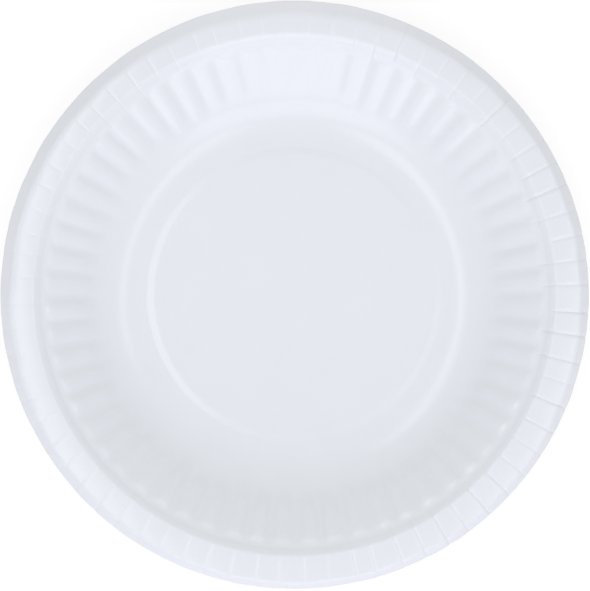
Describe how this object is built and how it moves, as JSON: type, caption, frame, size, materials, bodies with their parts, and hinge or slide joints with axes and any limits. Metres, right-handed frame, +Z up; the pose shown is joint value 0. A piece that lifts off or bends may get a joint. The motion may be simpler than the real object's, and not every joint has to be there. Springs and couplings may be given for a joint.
{
  "type": "paper plate",
  "caption": "Round pressed paperboard plate with a raised centre disc, a fluted wall and a creased rim rolled down at its edge.",
  "frame": {"origin": "middle of the foot ring, on the surface that the plate rests on", "axes": "+Z up along the plate's axis, +X to the right and +Y away as the picture shows the plate from above"},
  "size_m": [0.23, 0.23, 0.0213],
  "materials": {
    "coated_board": "smooth white coating with a soft gloss"
  },
  "bodies": {
    "root": {"plate": "coated_board"}
  },
  "joints": []
}
